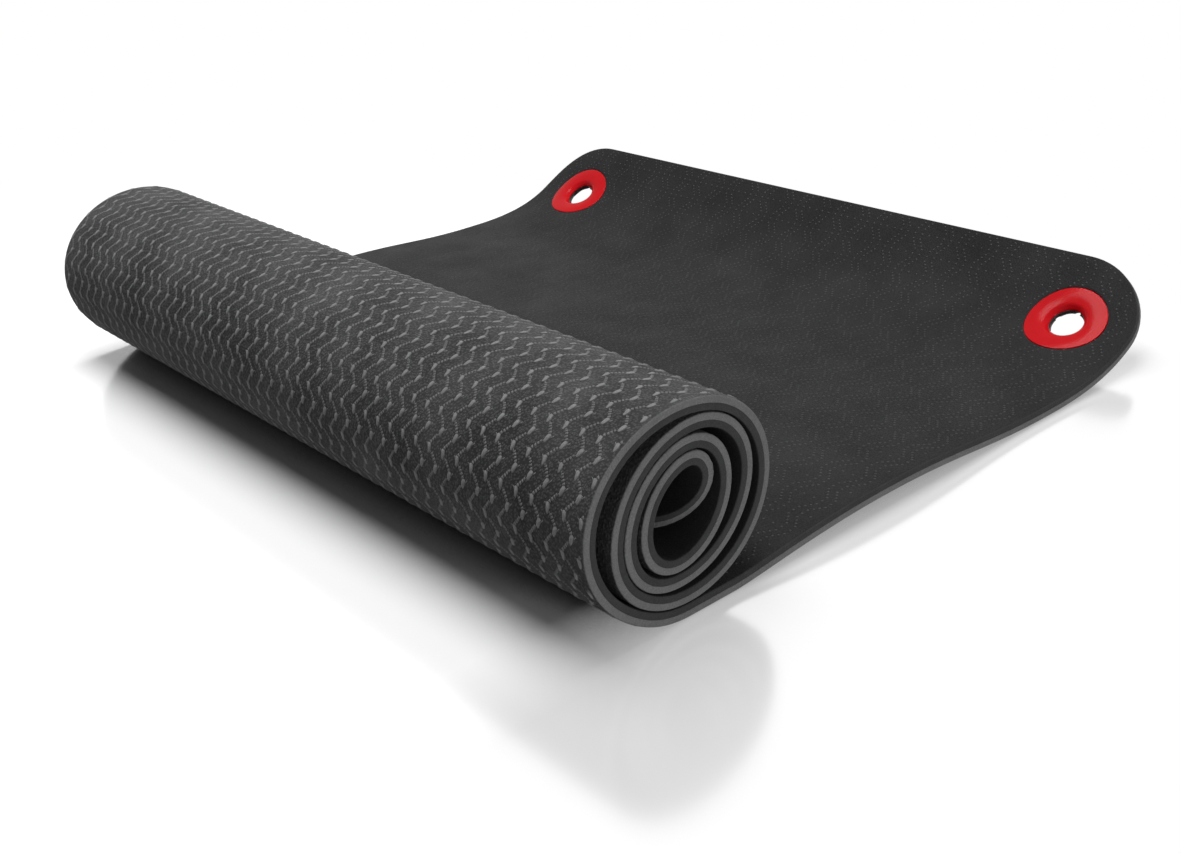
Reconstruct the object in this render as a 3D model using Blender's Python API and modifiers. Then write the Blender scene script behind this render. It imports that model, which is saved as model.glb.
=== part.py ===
"""Two-layer fitness mat with two hanging eyelets, four turns rolled up and the free end lying open."""
import math

import bmesh
import bpy
from mathutils import Vector
from mathutils.geometry import interpolate_bezier

# Sheet: a grip layer below and a smooth top layer above, bonded along the layer line
MAT_WIDTH = 0.600
TOP_THICKNESS = 0.004
GRIP_THICKNESS = 0.004
BOND_CLEARANCE = 0.0003
CORNER_RADIUS = 0.054
CORNER_STEPS = 9
MAT_THICKNESS = TOP_THICKNESS + GRIP_THICKNESS

# Roll: the innermost turn's radius in eight directions, from straight down, then left, up and right
CORE_RADIUS = 0.020
CORE_SHARES = (0.73, 0.87, 0.81, 0.84, 1.17, 1.23, 0.88, 0.60)
TURN_GAP = 0.0005
ROLL_TURNS = 4.05
CORE_TURN = 4
STEPS_PER_TURN = 36

# Where the roll is wound loosely: turns in from the floor contact, opening as a share of the
# mat's thickness, and half the opening's reach in turns
LOOSE_SHARES = (
    (1.32, 1.24, 0.24),
    (1.85, 0.65, 0.275),
    (2.74, 0.80, 0.29),
    (3.21, 0.29, 0.265),
    (3.91, 0.52, 0.41),
)

# Open part: a flat foot beside the roll, a low arch, a short flat rest and a curled-up free end
FOOT_REACH = 0.0335
ARCH_RISE = 0.0076
RISE_RUN = 0.122
FALL_RUN = 0.152
ARCH_STEPS = 9
RISE_HANDLE_SHARES = (0.15, 0.50)
FALL_HANDLE_SHARES = (0.45, 0.40)
REST_RUN = 0.010
CURL_LENGTH = 0.137
CURL_ANGLE = math.radians(47)
CURL_TURN_SHARES = (0.06, 0.087, 0.12, 0.164, 0.205, 0.24, 0.118, 0.006)
CURL_STEPS = 4

# Eyelets: a flanged ring pressed through the mat from the top, held by a snap ring from below.
# Both flanges press the foam in, and the snap ring's collar stands round the barrel. Levels are
# counted from the layer line, towards the top side
EYELET_FROM_END = 0.0518
EYELET_FROM_SIDE = 0.0472
EYELET_CLEARANCE = 0.0003
FOAM_PRESS = 0.0013
BORE_RADIUS = 0.0117
BARREL_WALL = 0.0017
BARREL_END = 0.0007
FLANGE_RADIUS = 0.028
FLANGE_HEIGHT = 0.0016
FLANGE_EDGE = 0.0010
FLANGE_HUMP = 0.0005
FUNNEL_RADIUS = 0.0152
FUNNEL_DEPTH = 0.0029
FUNNEL_HUMP = 0.0003
SNAP_RADIUS = 0.026
SNAP_HEIGHT = 0.0027
SNAP_EDGE = 0.0010
SNAP_HUMP = 0.0005
SNAP_FLARE_RADIUS = 0.0158
SNAP_STEP_RADIUS = 0.0119
SNAP_LIP_RADIUS = 0.01085
SNAP_LIP_LEVEL = -0.0013
SNAP_LIP_THICKNESS = 0.0007
COLLAR_WALL = 0.0013
COLLAR_END = 0.0022
NOTCH_RADIUS = 0.0021
NOTCH_RING_RADIUS = 0.0114
NOTCH_COUNT = 5
NOTCH_TURN = math.radians(6.5)
RING_STEPS = 48
HOLE_STEPS = 48
NOTCH_STEPS = 12
BROW_STEPS = 5
FUNNEL_STEPS = 4
SEAT_STEPS = 4
BARREL_RADIUS = BORE_RADIUS + BARREL_WALL
SOCKET_RADIUS = BARREL_RADIUS + EYELET_CLEARANCE
COLLAR_RADIUS = SOCKET_RADIUS + COLLAR_WALL
TOP_SEAT = TOP_THICKNESS - FOAM_PRESS
GRIP_SEAT = FOAM_PRESS - GRIP_THICKNESS

# Cutters reach this far past what they cut
OVERRUN = 0.002

# Points closer together than this are one point
MERGE_DISTANCE = 0.00001

# Edges that turn more than this stay sharp
SHARP_ANGLE = math.radians(35)


def clear_scene():
    for thing in list(bpy.data.objects):
        bpy.data.objects.remove(thing, do_unlink=True)


def new_collection(name):
    collection = bpy.data.collections.new(name)
    bpy.context.scene.collection.children.link(collection)
    return collection


def new_material(name, color, roughness):
    material = bpy.data.materials.new(name)
    material.use_nodes = True
    shader = material.node_tree.nodes["Principled BSDF"]
    shader.inputs["Base Color"].default_value = (*color, 1)
    shader.inputs["Roughness"].default_value = roughness
    shader.inputs["Metallic"].default_value = 0
    material.diffuse_color = (*color, 1)
    return material


def core_radius(turn):
    """Radius of the innermost turn in a direction, smooth through the eight core shares."""
    count = len(CORE_SHARES)
    share = 0
    for index, core_share in enumerate(CORE_SHARES):
        half = math.pi * (turn - index / count)
        if abs(math.sin(half)) < 1e-9:
            return CORE_RADIUS * core_share
        share += core_share * math.sin(count * half) / (count * math.tan(half))
    return CORE_RADIUS * share


def looseness(turn):
    """How much the loose places further in push this place outwards, as a share of the thickness."""
    share = 0
    for place, opening, reach in LOOSE_SHARES:
        inner = turn + 1
        while inner < place + reach:
            away = abs(inner - place) / reach
            if away < 1:
                share += opening * (1 + math.cos(math.pi * away)) / 2
            inner += 1
    return share


def roll_radius(turn):
    """Distance from the roll's centre to the layer line's tangent, counted in turns from the floor."""
    pitch = MAT_THICKNESS + TURN_GAP
    wound = core_radius(turn) + pitch * (CORE_TURN - turn)
    return wound + MAT_THICKNESS * looseness(turn)


def roll_points():
    """Layer line of the roll, from the core out, each point where two neighbouring tangents meet."""
    step = 1 / STEPS_PER_TURN
    step_angle = math.tau * step
    points = []
    for index in range(round(ROLL_TURNS * STEPS_PER_TURN), -1, -1):
        turn = index * step
        angle = math.tau * turn
        outward = Vector((-math.sin(angle), -math.cos(angle)))
        onward = Vector((-math.cos(angle), math.sin(angle)))
        here = roll_radius(turn)
        ahead = roll_radius(turn + step)
        slide = (ahead - here * math.cos(step_angle)) / math.sin(step_angle)
        points.append(outward * here + onward * slide)
    return points


def bezier_run(start, end, handle_shares):
    """Level-ended curve from start to end, without its first point."""
    run = end.x - start.x
    first = Vector((start.x + run * handle_shares[0], start.y, 0))
    second = Vector((end.x - run * handle_shares[1], end.y, 0))
    curve = interpolate_bezier(start.to_3d(), first, second, end.to_3d(), ARCH_STEPS + 1)
    return [point.to_2d() for point in curve[1:]]


def curl_points(start):
    """Free end rising in short arcs from the floor, without its first point."""
    piece = CURL_LENGTH / (len(CURL_TURN_SHARES) * CURL_STEPS)
    heading = 0
    point = start.copy()
    points = []
    for share in CURL_TURN_SHARES:
        bend_step = CURL_ANGLE * share / sum(CURL_TURN_SHARES) / CURL_STEPS
        for _ in range(CURL_STEPS):
            heading += bend_step
            point = point + piece * Vector((math.cos(heading), math.sin(heading)))
            points.append(point)
    return points


def layer_line():
    """The whole mat seen from its side: the line between its two layers, from the core to the free end."""
    points = roll_points()
    floor = -roll_radius(0)
    foot = Vector((FOOT_REACH, floor))
    crest = foot + Vector((RISE_RUN, ARCH_RISE))
    rest = foot + Vector((RISE_RUN + FALL_RUN, 0))
    lift = rest + Vector((REST_RUN, 0))
    points.append(foot)
    points += bezier_run(foot, crest, RISE_HANDLE_SHARES)
    points += bezier_run(crest, rest, FALL_HANDLE_SHARES)
    points.append(lift)
    points += curl_points(lift)
    up = Vector((0, GRIP_THICKNESS - floor))
    return [point + up for point in points]


def miters(points):
    """For each point, the step that lifts both neighbouring stretches by one unit towards the top side."""
    normals = []
    for here, ahead in zip(points, points[1:]):
        along = (ahead - here).normalized()
        normals.append(Vector((-along.y, along.x)))
    steps = [normals[0]]
    for before, after in zip(normals, normals[1:]):
        steps.append((before + after) / (1 + before.dot(after)))
    steps.append(normals[-1])
    return steps


def lengths_along(points):
    total = 0
    lengths = [total]
    for here, ahead in zip(points, points[1:]):
        total += (ahead - here).length
        lengths.append(total)
    return lengths


class Sheet:
    """Carries a place on the flat mat to its place on the rolled one."""

    def __init__(self):
        points = layer_line()
        self.steps = miters(points)
        low_x = min((p - GRIP_THICKNESS * m).x for p, m in zip(points, self.steps))
        high_x = max((p - GRIP_THICKNESS * m).x for p, m in zip(points, self.steps))
        shift = Vector(((low_x + high_x) / 2, 0))
        self.points = [point - shift for point in points]
        self.stations = lengths_along(points)
        self.length = self.stations[-1]

    def place(self, along, across, level):
        index = 0
        while index < len(self.stations) - 2 and self.stations[index + 1] < along:
            index += 1
        start = self.stations[index]
        share = (along - start) / (self.stations[index + 1] - start)
        here = self.points[index] + level * self.steps[index]
        ahead = self.points[index + 1] + level * self.steps[index + 1]
        spot = here.lerp(ahead, share)
        return Vector((spot.x, across, spot.y))

    def side(self, level):
        return [point + level * step for point, step in zip(self.points, self.steps)]

    def least_gap(self):
        """Smallest distance from the grip side to the top side half a turn or more away."""
        outer = self.side(-GRIP_THICKNESS)
        inner = self.side(TOP_THICKNESS)
        least = self.length
        for index, point in enumerate(outer):
            for other in range(index + STEPS_PER_TURN // 2, len(inner) - 1):
                start = inner[other]
                edge = inner[other + 1] - start
                share = (point - start).dot(edge) / edge.length_squared
                nearest = start + edge * min(1, max(0, share))
                least = min(least, (point - nearest).length)
        return least


def cut_at_stations(mesh, sheet):
    """Cuts the flat mesh across at every place where the mat bends."""
    for station in sheet.stations[1:-1]:
        geometry = mesh.verts[:] + mesh.edges[:] + mesh.faces[:]
        bmesh.ops.bisect_plane(
            mesh, geom=geometry, dist=MERGE_DISTANCE, plane_co=(station, 0, 0), plane_no=(1, 0, 0)
        )


def add_object(name, mesh_data, collection, material=None):
    thing = bpy.data.objects.new(name, mesh_data)
    collection.objects.link(thing)
    if material:
        mesh_data.materials.append(material)
    return thing


def finish_mesh(mesh, name):
    data = bpy.data.meshes.new(name)
    mesh.to_mesh(data)
    mesh.free()
    return data


def flat_layer(name, low, high, sheet, collection, material):
    """Round-cornered layer lying flat, from level low to level high, with x along the mat."""
    mesh = bmesh.new()
    bmesh.ops.create_grid(mesh, x_segments=1, y_segments=1, size=1)
    half_length = sheet.length / 2
    bmesh.ops.scale(mesh, vec=(half_length, MAT_WIDTH / 2, 1), verts=mesh.verts)
    bmesh.ops.translate(mesh, vec=(half_length, 0, low), verts=mesh.verts)
    bmesh.ops.bevel(
        mesh, geom=mesh.verts[:], offset=CORNER_RADIUS, offset_type="OFFSET",
        segments=CORNER_STEPS, profile=0.5, affect="VERTICES",
    )
    cut_at_stations(mesh, sheet)
    lower = mesh.faces[:]
    raised = bmesh.ops.extrude_face_region(mesh, geom=lower, use_keep_orig=True)
    lifted = [part for part in raised["geom"] if isinstance(part, bmesh.types.BMVert)]
    bmesh.ops.translate(mesh, vec=(0, 0, high - low), verts=lifted)
    bmesh.ops.recalc_face_normals(mesh, faces=mesh.faces[:])
    return add_object(name, finish_mesh(mesh, name), collection, material)


def round_cutter(name, radius, low, high, across, sheet, collection):
    """Round cutter about one eyelet's axis, from level low to level high of the flat mat."""
    mesh = bmesh.new()
    outer = radius + EYELET_CLEARANCE
    bmesh.ops.create_cone(
        mesh, cap_ends=True, segments=HOLE_STEPS, radius1=outer, radius2=outer, depth=high - low
    )
    centre = (sheet.length - EYELET_FROM_END, across, (low + high) / 2)
    bmesh.ops.translate(mesh, vec=centre, verts=mesh.verts)
    cut_at_stations(mesh, sheet)
    return as_cutter(add_object(name, finish_mesh(mesh, name), collection))


def as_cutter(thing):
    thing.hide_render = True
    thing.display_type = "WIRE"
    return thing


def cut_with(thing, cutter):
    cut = thing.modifiers.new("cut_" + cutter.name, "BOOLEAN")
    cut.operation = "DIFFERENCE"
    cut.solver = "EXACT"
    cut.object = cutter


def humped_run(start, end, bulge, count):
    """Points after start, up to and with end, on a shallow hump of the given height."""
    points = []
    for index in range(1, count + 1):
        share = index / count
        rise = bulge * math.sin(math.pi * share)
        points.append(start.lerp(end, share) + Vector((0, rise)))
    return points


def flange_profile():
    """Section of the flanged ring: radius and level, from the flange's edge in and down the barrel."""
    seat = TOP_SEAT + EYELET_CLEARANCE
    crest = seat + FLANGE_HEIGHT
    edge = Vector((FLANGE_RADIUS, seat + FLANGE_EDGE))
    brim = Vector((FUNNEL_RADIUS, crest))
    throat = Vector((BORE_RADIUS, crest - FUNNEL_DEPTH))
    points = [edge]
    points += humped_run(edge, brim, FLANGE_HUMP, BROW_STEPS)
    points += humped_run(brim, throat, FUNNEL_HUMP, FUNNEL_STEPS)
    points.append(Vector((BORE_RADIUS, BARREL_END)))
    points.append(Vector((BARREL_RADIUS, BARREL_END)))
    points.append(Vector((BARREL_RADIUS, seat)))
    under = Vector((FLANGE_RADIUS, seat))
    points += humped_run(points[-1], under, 0, SEAT_STEPS)
    return points


def snap_profile():
    """Section of the snap ring: radius and level, from its lip up to the collar, out and back below."""
    seat = GRIP_SEAT - EYELET_CLEARANCE
    step = BARREL_END - EYELET_CLEARANCE
    points = [Vector((SNAP_LIP_RADIUS, SNAP_LIP_LEVEL)), Vector((SNAP_STEP_RADIUS, SNAP_LIP_LEVEL))]
    points.append(Vector((SNAP_STEP_RADIUS, step)))
    points.append(Vector((SOCKET_RADIUS, step)))
    points.append(Vector((SOCKET_RADIUS, COLLAR_END)))
    points.append(Vector((COLLAR_RADIUS, COLLAR_END)))
    points.append(Vector((COLLAR_RADIUS, seat)))
    points += humped_run(points[-1], Vector((SNAP_RADIUS, seat)), 0, SEAT_STEPS)
    edge = Vector((SNAP_RADIUS, seat - SNAP_EDGE))
    points.append(edge)
    flare = Vector((SNAP_FLARE_RADIUS, seat - SNAP_HEIGHT))
    points += humped_run(edge, flare, -SNAP_HUMP, SEAT_STEPS)
    points.append(Vector((SNAP_LIP_RADIUS, SNAP_LIP_LEVEL - SNAP_LIP_THICKNESS)))
    return points


def turned_ring(name, profile, across, sheet, collection, material):
    """Closed profile, running down its outer side, turned about the hole's axis on the flat mat."""
    count = len(profile)
    data = bpy.data.meshes.new(name)
    corners = [(point.x, 0, point.y) for point in profile]
    data.from_pydata(corners, [(index, (index + 1) % count) for index in range(count)], [])
    ring = add_object(name, data, collection, material)
    ring.location = (sheet.length - EYELET_FROM_END, across, 0)
    turn = ring.modifiers.new("turn", "SCREW")
    turn.steps = RING_STEPS
    turn.render_steps = RING_STEPS
    turn.use_merge_vertices = True
    turn.merge_threshold = MERGE_DISTANCE
    return ring


def notch_cutter(name, index, across, sheet, collection):
    """Round cutter for one notch in the snap ring's lip, the far side's the mirror of the near side's."""
    angle = math.copysign(NOTCH_TURN + math.tau * index / NOTCH_COUNT, across)
    mesh = bmesh.new()
    depth = MAT_THICKNESS + SNAP_HEIGHT
    bmesh.ops.create_cone(
        mesh, cap_ends=True, segments=NOTCH_STEPS, radius1=NOTCH_RADIUS, radius2=NOTCH_RADIUS,
        depth=2 * depth,
    )
    centre = Vector((sheet.length - EYELET_FROM_END, across, 0))
    centre += NOTCH_RING_RADIUS * Vector((math.cos(angle), math.sin(angle), 0))
    bmesh.ops.translate(mesh, vec=centre, verts=mesh.verts)
    return as_cutter(add_object(name, finish_mesh(mesh, name), collection))


def bend_into_place(thing, sheet):
    """Applies the cuts and carries every point from the flat mat to the rolled one."""
    graph = bpy.context.evaluated_depsgraph_get()
    mesh = bmesh.new()
    mesh.from_mesh(bpy.data.meshes.new_from_object(thing.evaluated_get(graph)))
    bmesh.ops.triangulate(mesh, faces=mesh.faces[:])
    for vertex in mesh.verts:
        vertex.co = sheet.place(*(thing.matrix_world @ vertex.co))
    thing.modifiers.clear()
    thing.location = (0, 0, 0)
    mesh.to_mesh(thing.data)
    mesh.free()


def smooth(thing):
    thing.data.shade_smooth()
    thing.data.set_sharp_from_angle(angle=SHARP_ANGLE)


def build_mat():
    clear_scene()
    parts = new_collection("fitness_mat")
    cutters = new_collection("cutters")
    charcoal = new_material("charcoal_foam", (0.035, 0.035, 0.036), 0.75)
    grey = new_material("grey_foam", (0.085, 0.085, 0.087), 0.75)
    red = new_material("red_plastic", (0.60, 0.01, 0.015), 0.25)
    dark = new_material("dark_plastic", (0.05, 0.05, 0.05), 0.35)
    sheet = Sheet()
    half_bond = BOND_CLEARANCE / 2
    layers = [
        flat_layer("grip_layer", -GRIP_THICKNESS, -half_bond, sheet, parts, grey),
        flat_layer("top_layer", half_bond, TOP_THICKNESS, sheet, parts, charcoal),
    ]
    rings = []
    for side, sign in (("near", -1), ("far", 1)):
        across = sign * (MAT_WIDTH / 2 - EYELET_FROM_SIDE)
        place = (across, sheet, cutters)
        low = -GRIP_THICKNESS - OVERRUN
        high = TOP_THICKNESS + OVERRUN
        hole = round_cutter(side + "_hole", COLLAR_RADIUS, low, high, *place)
        for layer in layers:
            cut_with(layer, hole)
        cut_with(layers[0], round_cutter(side + "_snap_seat", SNAP_RADIUS, low, GRIP_SEAT, *place))
        cut_with(layers[1], round_cutter(side + "_flange_seat", FLANGE_RADIUS, TOP_SEAT, high, *place))
        rings.append(turned_ring(side + "_eyelet_ring", flange_profile()[::-1], across, sheet, parts, red))
        snap = turned_ring(side + "_snap_ring", snap_profile(), across, sheet, parts, dark)
        for index in range(NOTCH_COUNT):
            cut_with(snap, notch_cutter(f"{side}_notch_{index + 1}", index, across, sheet, cutters))
        rings.append(snap)
    bpy.context.view_layer.update()
    for thing in layers + rings:
        bend_into_place(thing, sheet)
        smooth(thing)
    print(f"unrolled length {sheet.length:.4f} m, least gap in the roll {sheet.least_gap() * 1000:.2f} mm")


build_mat()
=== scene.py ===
"""Looks of the fitness mat: two foam layers with moulded relief, glossy eyelets and a pale studio floor."""

import math

import bmesh
import bpy
import numpy as np
from mathutils import Matrix, Vector
from mathutils.geometry import interpolate_bezier


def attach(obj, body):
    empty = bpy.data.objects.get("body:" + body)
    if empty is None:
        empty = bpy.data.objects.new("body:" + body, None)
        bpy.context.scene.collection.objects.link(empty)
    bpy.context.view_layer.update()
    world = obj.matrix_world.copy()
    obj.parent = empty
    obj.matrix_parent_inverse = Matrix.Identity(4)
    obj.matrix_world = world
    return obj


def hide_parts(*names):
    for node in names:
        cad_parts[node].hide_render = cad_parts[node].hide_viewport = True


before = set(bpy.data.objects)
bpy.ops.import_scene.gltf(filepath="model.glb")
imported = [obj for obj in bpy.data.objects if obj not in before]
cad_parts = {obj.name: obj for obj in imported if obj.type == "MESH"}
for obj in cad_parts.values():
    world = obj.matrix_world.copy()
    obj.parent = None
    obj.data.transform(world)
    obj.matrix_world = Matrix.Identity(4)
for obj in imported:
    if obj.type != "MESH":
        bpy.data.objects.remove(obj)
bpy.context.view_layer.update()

# Camera, fitted to the mat's outline in the photograph
CAMERA_SENSOR = 36
CAMERA_LENS = 44.81
CAMERA_CLIP_START = 0.01
CAMERA_CLIP_END = 100
CAMERA_PLACE = (-0.60888, -0.76217, 0.40441)
CAMERA_AIM = (0.56323, 0.70744, -0.42696)
CAMERA_ROLL = math.radians(-4.77)

# Sheet, as in the part's source, in metres
MAT_WIDTH = 0.600
TOP_THICKNESS = 0.004
GRIP_THICKNESS = 0.004
CORNER_RADIUS = 0.054
MAT_THICKNESS = TOP_THICKNESS + GRIP_THICKNESS

# Roll, as in the part's source. The core and loose shares are a least-squares fit to the roll's
# section in the photograph, rounded
CORE_RADIUS = 0.020
CORE_SHARES = (0.73, 0.87, 0.81, 0.84, 1.17, 1.23, 0.88, 0.60)
TURN_GAP = 0.0005
ROLL_TURNS = 4.05
CORE_TURN = 4
STEPS_PER_TURN = 36
LOOSE_SHARES = (
    (1.32, 1.24, 0.24),
    (1.85, 0.65, 0.275),
    (2.74, 0.80, 0.29),
    (3.21, 0.29, 0.265),
    (3.91, 0.52, 0.41),
)

# Open part, as in the part's source. The curl's turn shares follow a curve fitted to the free end
# in the photograph
FOOT_REACH = 0.0335
ARCH_RISE = 0.0076
RISE_RUN = 0.122
FALL_RUN = 0.152
ARCH_STEPS = 9
RISE_HANDLE_SHARES = (0.15, 0.50)
FALL_HANDLE_SHARES = (0.45, 0.40)
REST_RUN = 0.010
CURL_LENGTH = 0.137
CURL_ANGLE = math.radians(47)
CURL_TURN_SHARES = (0.06, 0.087, 0.12, 0.164, 0.205, 0.24, 0.118, 0.006)
CURL_STEPS = 4

# Eyelets, as in the part's source
EYELET_FROM_END = 0.0518
EYELET_FROM_SIDE = 0.0472
EYELET_CLEARANCE = 0.0003
FOAM_PRESS = 0.0013
BORE_RADIUS = 0.0117
BARREL_WALL = 0.0017
BARREL_END = 0.0007
FLANGE_RADIUS = 0.028
FLANGE_HEIGHT = 0.0016
FLANGE_EDGE = 0.0010
FLANGE_HUMP = 0.0005
FUNNEL_RADIUS = 0.0152
FUNNEL_DEPTH = 0.0029
FUNNEL_HUMP = 0.0003
SNAP_RADIUS = 0.026
SNAP_HEIGHT = 0.0027
SNAP_EDGE = 0.0010
SNAP_HUMP = 0.0005
SNAP_FLARE_RADIUS = 0.0158
SNAP_STEP_RADIUS = 0.0119
SNAP_LIP_RADIUS = 0.01085
SNAP_LIP_LEVEL = -0.0013
SNAP_LIP_THICKNESS = 0.0007
COLLAR_WALL = 0.0013
COLLAR_END = 0.0022
NOTCH_RADIUS = 0.0021
NOTCH_RING_RADIUS = 0.0114
NOTCH_COUNT = 5
NOTCH_TURN = math.radians(6.5)
BARREL_RADIUS = BORE_RADIUS + BARREL_WALL
SOCKET_RADIUS = BARREL_RADIUS + EYELET_CLEARANCE
COLLAR_RADIUS = SOCKET_RADIUS + COLLAR_WALL
TOP_SEAT = TOP_THICKNESS - FOAM_PRESS
GRIP_SEAT = FOAM_PRESS - GRIP_THICKNESS

# The scene's path has this many times the steps of the part's
FINENESS = 4

# Foam layers: rounding of the outer edges and of the edges at the seam, rows in a corner, columns across
OUTER_EDGE = 0.0009
SEAM_EDGE = 0.00015
EDGE_MIDDLE_SHARE = 0.3
CORNER_ROWS = 18
CORNER_CLEAR_SHARE = 1.02
COLUMNS = 12
HOLE_STEPS = 96
SEAT_STEPS = 6
SEAT_SOFTNESS = 0.0016
SEAT_WALL_SHARE = 0.35
FOAM_SHARP_ANGLE = math.radians(50)

# Eyelet and snap rings: steps of their curves, and the rounding of their corners
RING_STEPS = 128
NOTCH_STEPS = 24
RING_SHARP_ANGLE = math.radians(40)
FLANGE_HUMP_STEPS = 10
FUNNEL_HUMP_STEPS = 6
SNAP_HUMP_STEPS = 8
FLANGE_ROUNDING = 0.0005
FLANGE_ROUNDING_STEPS = 3
SNAP_ROUNDING = 0.0003
SNAP_ROUNDING_STEPS = 2

# A corner blunter than this isn't rounded, and an arc takes up at most this share of each side
BLUNT_CORNER = math.radians(150)
ROUNDED_SIDE_SHARE = 0.45

# Grip pattern: zigzag lines run along the mat; a right and a left bend make one repeat. The pitch
# and the repeat are a fit to the pattern in the photograph
LINE_PITCH = 0.01213
LINE_START = -0.2848
REPEAT = 0.01836
REPEAT_START = 0.8181
LEFT_BEND_ALONG = 0.0089
LEFT_BEND_ACROSS = -0.0067
GRIP_FROM = 0.600
GRIP_SPLITS = (0.88, 1.16)

# Relief: its root in the foam and its margins to the mat's outline and to the eyelets, then each
# shape's height and the share to which its shoulder is drawn in. The pale tops, painted sheen, begin at
# PAINTED_SHEEN_HEIGHTS
RELIEF_ROOT = 0.0001
RELIEF_MARGIN = 0.0015
EYELET_MARGIN = 0.001
SHOULDER_RISE_SHARE = 0.85
LOZENGE_HEIGHT = 0.00055
LOZENGE_SCALE = 1.15
LOZENGE_SHOULDER_SHARE = 0.72
BAR_HEIGHT = 0.00030
BAR_SHOULDER_SHARE = 0.62
WING_HEIGHT = 0.00018
PAINTED_SHEEN_HEIGHTS = (0.00038, 0.00031)
PAINTED_SHEEN_LEVELS = tuple(-GRIP_THICKNESS - height for height in PAINTED_SHEEN_HEIGHTS)

# Shapes at the bends of the grip lines, as steps along and across from the bend's middle, in millimetres
MILLIMETRE = 0.001
LOZENGES = (
    ("right", (
        (-2.03, -0.78), (-2.40, 0.25), (-2.30, 1.38), (-0.60, 1.22),
        (2.00, 0.52), (2.62, -0.18), (2.10, -0.78), (-0.30, -1.28),
    )),
    ("left", (
        (-1.75, -1.68), (-2.45, -0.30), (-2.15, 0.68), (-0.70, 1.35),
        (1.60, 1.38), (2.60, 0.55), (1.90, -0.42), (-0.30, -1.45),
    )),
)

# Chains of bars between the bends: their heading, then each bar's place along and across, length and width
BAR_CHAINS = (
    ("right", math.radians(50), (
        (5.85, -6.1, 1.9, 1.45), (4.45, -4.9, 1.9, 1.4), (3.15, -3.85, 1.8, 1.3), (2.1, -2.9, 1.6, 1.2),
    )),
    ("left", math.radians(-50), (
        (6.25, 6.25, 1.9, 1.45), (4.85, 4.9, 1.9, 1.4), (3.55, 3.75, 1.8, 1.3), (2.3, 2.75, 1.6, 1.2),
    )),
)

# Wings beside the lozenges: outline, apex and share of the wings' height
WINGS = (
    ("right", ((-2.1, 1.2), (-2.9, 4.0), (-1.8, 3.2), (1.1, 1.3)), (-1.6, 1.6), 1),
    ("left", ((-1.2, -1.6), (-3.5, -3.9), (-2.6, -4.2), (0.2, -1.5)), (-1.2, -1.9), 1),
    ("right", ((0.3, -1.2), (2.6, -3.4), (3.0, -2.9), (1.9, -0.9)), (1.3, -1.5), 0.8),
    ("left", ((0.4, 1.3), (2.6, 3.2), (3.0, 2.6), (2.0, 1.0)), (1.4, 1.6), 0.8),
)

# Top pattern: rows of short slanted strokes of dots, in nested diamonds. The size of a dot is in
# millimetres, as the shapes above
DIAMOND_ACROSS = 0.0390
DIAMOND_ALONG = 0.0326
DIAMOND_START_ACROSS = -0.2184
DIAMOND_START_ALONG = 1.1927
STROKE_PLACES = (0.00665, 0.01285)
STROKE_STEPS = (-1.5, -0.5, 0.5, 1.5)
STROKE_STEP_ALONG = 0.0026
STROKE_STEP_ACROSS = 0.0019
SINGLE_DOTS = (0.0035, 0.0097, 0.0159)
DOT_HEIGHT = 0.00038
DOT_SIZE = 1.9
DOT_CORNERS = 6
TOP_RELIEF_FROM = 0.95

# Foam finishes: dark and light colour, size of the grains and of the patches, depth of the grain.
# Then the dark and light colour of a layer's cut sides, or of the foot of its relief
GRIP_FINISH = ((0.031, 0.031, 0.0317), (0.094, 0.094, 0.0954), 0.0014, 0.04, 0.00025)
GRIP_SIDES = ((0.149, 0.149, 0.151), (0.206, 0.206, 0.209))
# The relief's top colours are painted sheen on the lozenges' tops, paler than its foot
RIDGE_PAINTED_SHEEN_FINISH = ((0.192, 0.192, 0.195), (0.270, 0.270, 0.273), 0.0009, 0.03, 0.00003)
RIDGE_FOOT = ((0.135, 0.135, 0.137), (0.206, 0.206, 0.209))
TOP_FINISH = ((0.017, 0.017, 0.0176), (0.031, 0.031, 0.0319), 0.0011, 0.05, 0.00010)
TOP_SIDES = ((0.043, 0.043, 0.0437), (0.062, 0.062, 0.063))
DOT_FINISH = ((0.060, 0.060, 0.061), (0.096, 0.096, 0.0975), 0.0009, 0.05, 0.00003)
SIDE_GRAIN = 0.0008
SIDE_PATCH = 0.02
FACE_END_SHARES = (0.98, 0.90)
FOAM_SPECULAR = 0.07

# Foam's skin: where a grain falls away, in shares of its size from its middle, and how much the
# grains and the patches change the colour
GRAIN_REACH = (0.15, 0.65)
GRAIN_TONE = 0.6
PATCH_TONE = 1.2
PATCH_TONE_START = -0.4
PATCH_DETAIL = 4
FOAM_ROUGHNESS = (0.72, 0.52)

# Plastic finishes: dark and light colour, roughness and specular level
RED_FINISH = ((0.52, 0.005, 0.009), (0.60, 0.008, 0.013), 0.16, 0.06)
DARK_FINISH = ((0.050, 0.050, 0.048), (0.078, 0.078, 0.074), 0.4, 0.3)
PLASTIC_NOISE_SCALE = 120
PLASTIC_NOISE_DETAIL = 3
PLASTIC_ROUGHNESS_SHARES = (0.8, 1.2)
PLASTIC_BUMP = 0.00005

# Floor: the relief's tops touch it. The gains are its brightness to the mat and to the camera
FLOOR_SIZE = 8.0
FLOOR_SEGMENTS = 4
FLOOR_DROP = LOZENGE_HEIGHT
FLOOR_MIRROR = 0.33
FLOOR_MIRROR_ROUGHNESS = 0.16
FLOOR_GAINS = (0.17, 1.36)

# Shade in the floor's close corners: reach, then openness and grey at each end
CLOSE_REACH = 0.045
CLOSE_SAMPLES = 8
CLOSE_STOPS = ((0.10, 0.045), (0.38, 1))
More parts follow.
